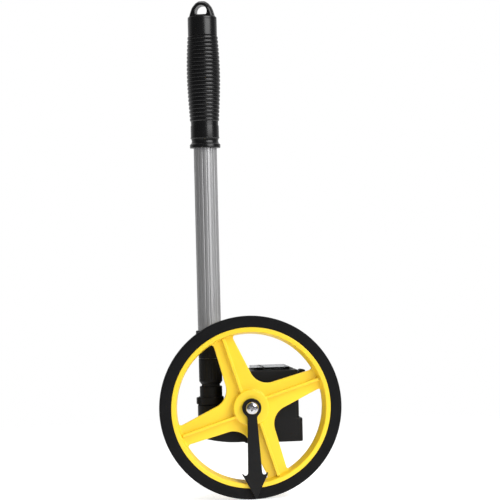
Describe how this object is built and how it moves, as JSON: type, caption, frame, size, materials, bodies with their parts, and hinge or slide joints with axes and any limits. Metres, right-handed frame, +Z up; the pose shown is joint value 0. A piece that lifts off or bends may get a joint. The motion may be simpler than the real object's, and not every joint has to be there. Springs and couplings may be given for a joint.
{
  "type": "measuring wheel",
  "caption": "Compact distance measuring wheel: spoked yellow wheel with rubber tyre and hanging pointer, digit counter box behind it, telescopic handle with ribbed grip.",
  "frame": {"origin": "on the axle axis in the mid-plane of the wheel and tyre", "axes": "+Z up along the handle, +Y along the axle from the pointer side towards the counter box, +X in the direction of forward travel"},
  "size_m": [0.1592, 0.0739, 0.4372],
  "materials": {
    "moulded_yellow": "smooth moulded yellow plastic",
    "tyre_rubber": "matt black rubber",
    "case_black": "fine-grained black plastic",
    "grip_black": "satin black plastic",
    "tube_metal": "satin anodised tube",
    "steel": "turned steel",
    "screw_chrome": "bright plated",
    "bush_brass": "sintered bush",
    "nylon": "natural nylon",
    "drum_white": "white digit drums",
    "frame_grey": "grey moulding",
    "lens_clear": "clear moulded cover",
    "soft_black": "soft black rubber"
  },
  "bodies": {
    "chassis": {"housing_shell": "case_black", "housing_cover": "case_black", "cover_screws": "steel", "window_lens": "lens_clear", "window_frame": "case_black", "counter_frame": "frame_grey", "frame_screws": "steel", "drum_shaft": "steel", "idler_pin": "steel", "carry_shaft": "steel", "axle": "steel", "axle_washer": "steel", "axle_nut": "steel", "thrust_washer": "nylon", "pointer_screw": "screw_chrome", "reset_pin": "steel", "reset_spring": "steel", "handle_socket": "case_black", "socket_ring": "case_black", "socket_pin": "steel", "buffer_ring": "soft_black", "inner_tube": "tube_metal", "inner_tube_guide": "nylon"},
    "wheel": {"wheel": "moulded_yellow", "tyre": "tyre_rubber", "hub_bushes": "bush_brass", "drive_gear": "nylon", "gear_rivets": "steel"},
    "pointer": {"pointer": "case_black"},
    "idler": {"idler_gear": "nylon"},
    "units": {"input_gear": "nylon", "drum_units": "drum_white"},
    "tens": {"drum_tens": "drum_white"},
    "hundreds": {"drum_hundreds": "drum_white"},
    "thousands": {"drum_thousands": "drum_white"},
    "ten_thousands": {"drum_ten_thousands": "drum_white"},
    "pinion_a": {"carry_pinion_a": "nylon"},
    "pinion_b": {"carry_pinion_b": "nylon"},
    "pinion_c": {"carry_pinion_c": "nylon"},
    "pinion_d": {"carry_pinion_d": "nylon"},
    "reset": {"reset_lever": "case_black"},
    "middle_stage": {"middle_tube": "tube_metal", "middle_tube_guide": "nylon", "middle_collet": "nylon"},
    "middle_lock": {"middle_collar": "case_black"},
    "outer_stage": {"outer_tube": "tube_metal", "outer_collet": "nylon", "grip_ferrule": "grip_black", "grip_sleeve": "grip_black", "grip_cap": "grip_black"},
    "outer_lock": {"outer_collar": "case_black"}
  },
  "joints": [
    {"name": "wheel_spin", "type": "hinge", "parent": "chassis", "child": "wheel", "pos_m": [0, 0, 0], "axis": [0, 1, 0], "continuous": true},
    {"name": "pointer_swing", "type": "hinge", "parent": "chassis", "child": "pointer", "pos_m": [0, -0.008, 0], "axis": [0, 1, 0], "continuous": true},
    {"name": "idler_spin", "type": "hinge", "parent": "chassis", "child": "idler", "pos_m": [0.01354, 0.013, -0.00357], "axis": [0, 1, 0], "continuous": true},
    {"name": "units_spin", "type": "hinge", "parent": "chassis", "child": "units", "pos_m": [0.02309, 0.019, 0.014], "axis": [0, 1, 0], "continuous": true},
    {"name": "tens_spin", "type": "hinge", "parent": "chassis", "child": "tens", "pos_m": [0.02309, 0.0254, 0.014], "axis": [0, 1, 0], "continuous": true},
    {"name": "hundreds_spin", "type": "hinge", "parent": "chassis", "child": "hundreds", "pos_m": [0.02309, 0.0318, 0.014], "axis": [0, 1, 0], "continuous": true},
    {"name": "thousands_spin", "type": "hinge", "parent": "chassis", "child": "thousands", "pos_m": [0.02309, 0.0382, 0.014], "axis": [0, 1, 0], "continuous": true},
    {"name": "ten_thousands_spin", "type": "hinge", "parent": "chassis", "child": "ten_thousands", "pos_m": [0.02309, 0.0446, 0.014], "axis": [0, 1, 0], "continuous": true},
    {"name": "pinion_a_spin", "type": "hinge", "parent": "chassis", "child": "pinion_a", "pos_m": [0.03009, 0.0222, 0.00188], "axis": [0, 1, 0], "continuous": true},
    {"name": "pinion_b_spin", "type": "hinge", "parent": "chassis", "child": "pinion_b", "pos_m": [0.03009, 0.0286, 0.00188], "axis": [0, 1, 0], "continuous": true},
    {"name": "pinion_c_spin", "type": "hinge", "parent": "chassis", "child": "pinion_c", "pos_m": [0.03009, 0.035, 0.00188], "axis": [0, 1, 0], "continuous": true},
    {"name": "pinion_d_spin", "type": "hinge", "parent": "chassis", "child": "pinion_d", "pos_m": [0.03009, 0.0414, 0.00188], "axis": [0, 1, 0], "continuous": true},
    {"name": "reset_press", "type": "hinge", "parent": "chassis", "child": "reset", "pos_m": [0.0395, 0.032, 0.021], "axis": [0, 1, 0], "range_deg": [0, 12]},
    {"name": "middle_slide", "type": "slide", "parent": "chassis", "child": "middle_stage", "axis": [0, 0, 1], "range_m": [0, 0.27]},
    {"name": "middle_twist", "type": "hinge", "parent": "middle_stage", "child": "middle_lock", "pos_m": [-0.0309, 0.03, 0.03], "axis": [0, 0, 1], "range_deg": [0, 90]},
    {"name": "outer_slide", "type": "slide", "parent": "middle_stage", "child": "outer_stage", "axis": [0, 0, 1], "range_m": [0, 0.25]},
    {"name": "outer_twist", "type": "hinge", "parent": "outer_stage", "child": "outer_lock", "pos_m": [-0.0309, 0.03, 0.054], "axis": [0, 0, 1], "range_deg": [0, 90]}
  ],
  "couplings": [
    {"joint": "idler_spin", "follows": "wheel_spin", "ratio": -0.75},
    {"joint": "units_spin", "follows": "wheel_spin", "ratio": 0.5},
    {"joint": "tens_spin", "follows": "wheel_spin", "ratio": 0.05},
    {"joint": "hundreds_spin", "follows": "wheel_spin", "ratio": 0.005},
    {"joint": "thousands_spin", "follows": "wheel_spin", "ratio": 0.0005},
    {"joint": "ten_thousands_spin", "follows": "wheel_spin", "ratio": 0.00005},
    {"joint": "pinion_a_spin", "follows": "wheel_spin", "ratio": -0.125},
    {"joint": "pinion_b_spin", "follows": "wheel_spin", "ratio": -0.0125},
    {"joint": "pinion_c_spin", "follows": "wheel_spin", "ratio": -0.00125},
    {"joint": "pinion_d_spin", "follows": "wheel_spin", "ratio": -0.000125}
  ]
}
